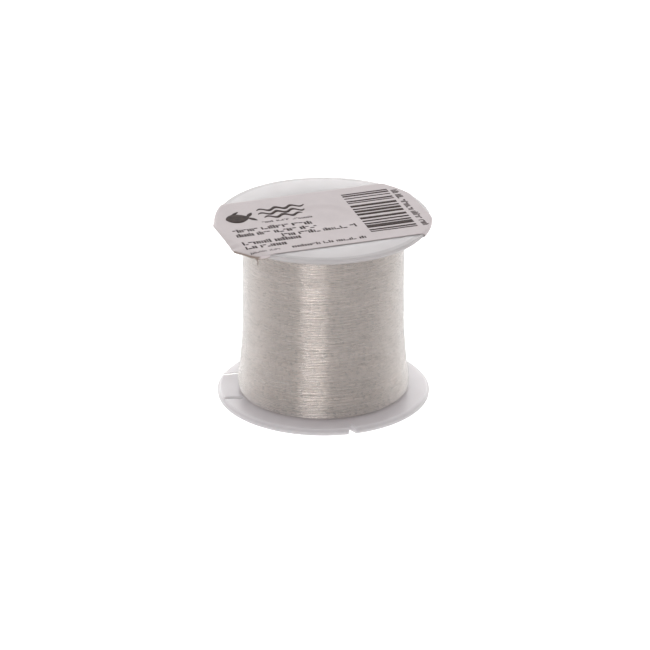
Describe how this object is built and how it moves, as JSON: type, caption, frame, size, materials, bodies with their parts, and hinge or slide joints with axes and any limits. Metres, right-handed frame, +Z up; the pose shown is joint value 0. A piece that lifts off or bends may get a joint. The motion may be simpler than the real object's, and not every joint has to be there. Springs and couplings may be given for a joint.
{
  "type": "fishing line spool",
  "caption": "Translucent flanged plastic spool wound full with clear nylon fishing line, its loose end lying over the lower rim and a paper label folded over the upper flange.",
  "frame": {"origin": "on the spool's axis, in the plane of the lower flange's outer face, which the spool stands on", "axes": "+Z up along the spool's axis; -Y is the side with the notch in the lower rim and the label's lower edge; +X to the right of that side"},
  "size_m": [0.0614, 0.06, 0.0536],
  "materials": {
    "flange_plastic": "translucent natural polypropylene, satin from the mould",
    "barrel_plastic": "natural polypropylene tube, satin",
    "nylon_line": "clear drawn nylon, silky along the turns",
    "label_paper": "uncoated white self-adhesive paper, thermal print"
  },
  "bodies": {
    "root": {"lower_flange": "flange_plastic", "upper_flange": "flange_plastic", "barrel_tube": "barrel_plastic", "wound_line": "nylon_line", "line_start": "nylon_line", "start_knot": "nylon_line", "line_tail": "nylon_line", "paper_label": "label_paper"}
  },
  "joints": []
}
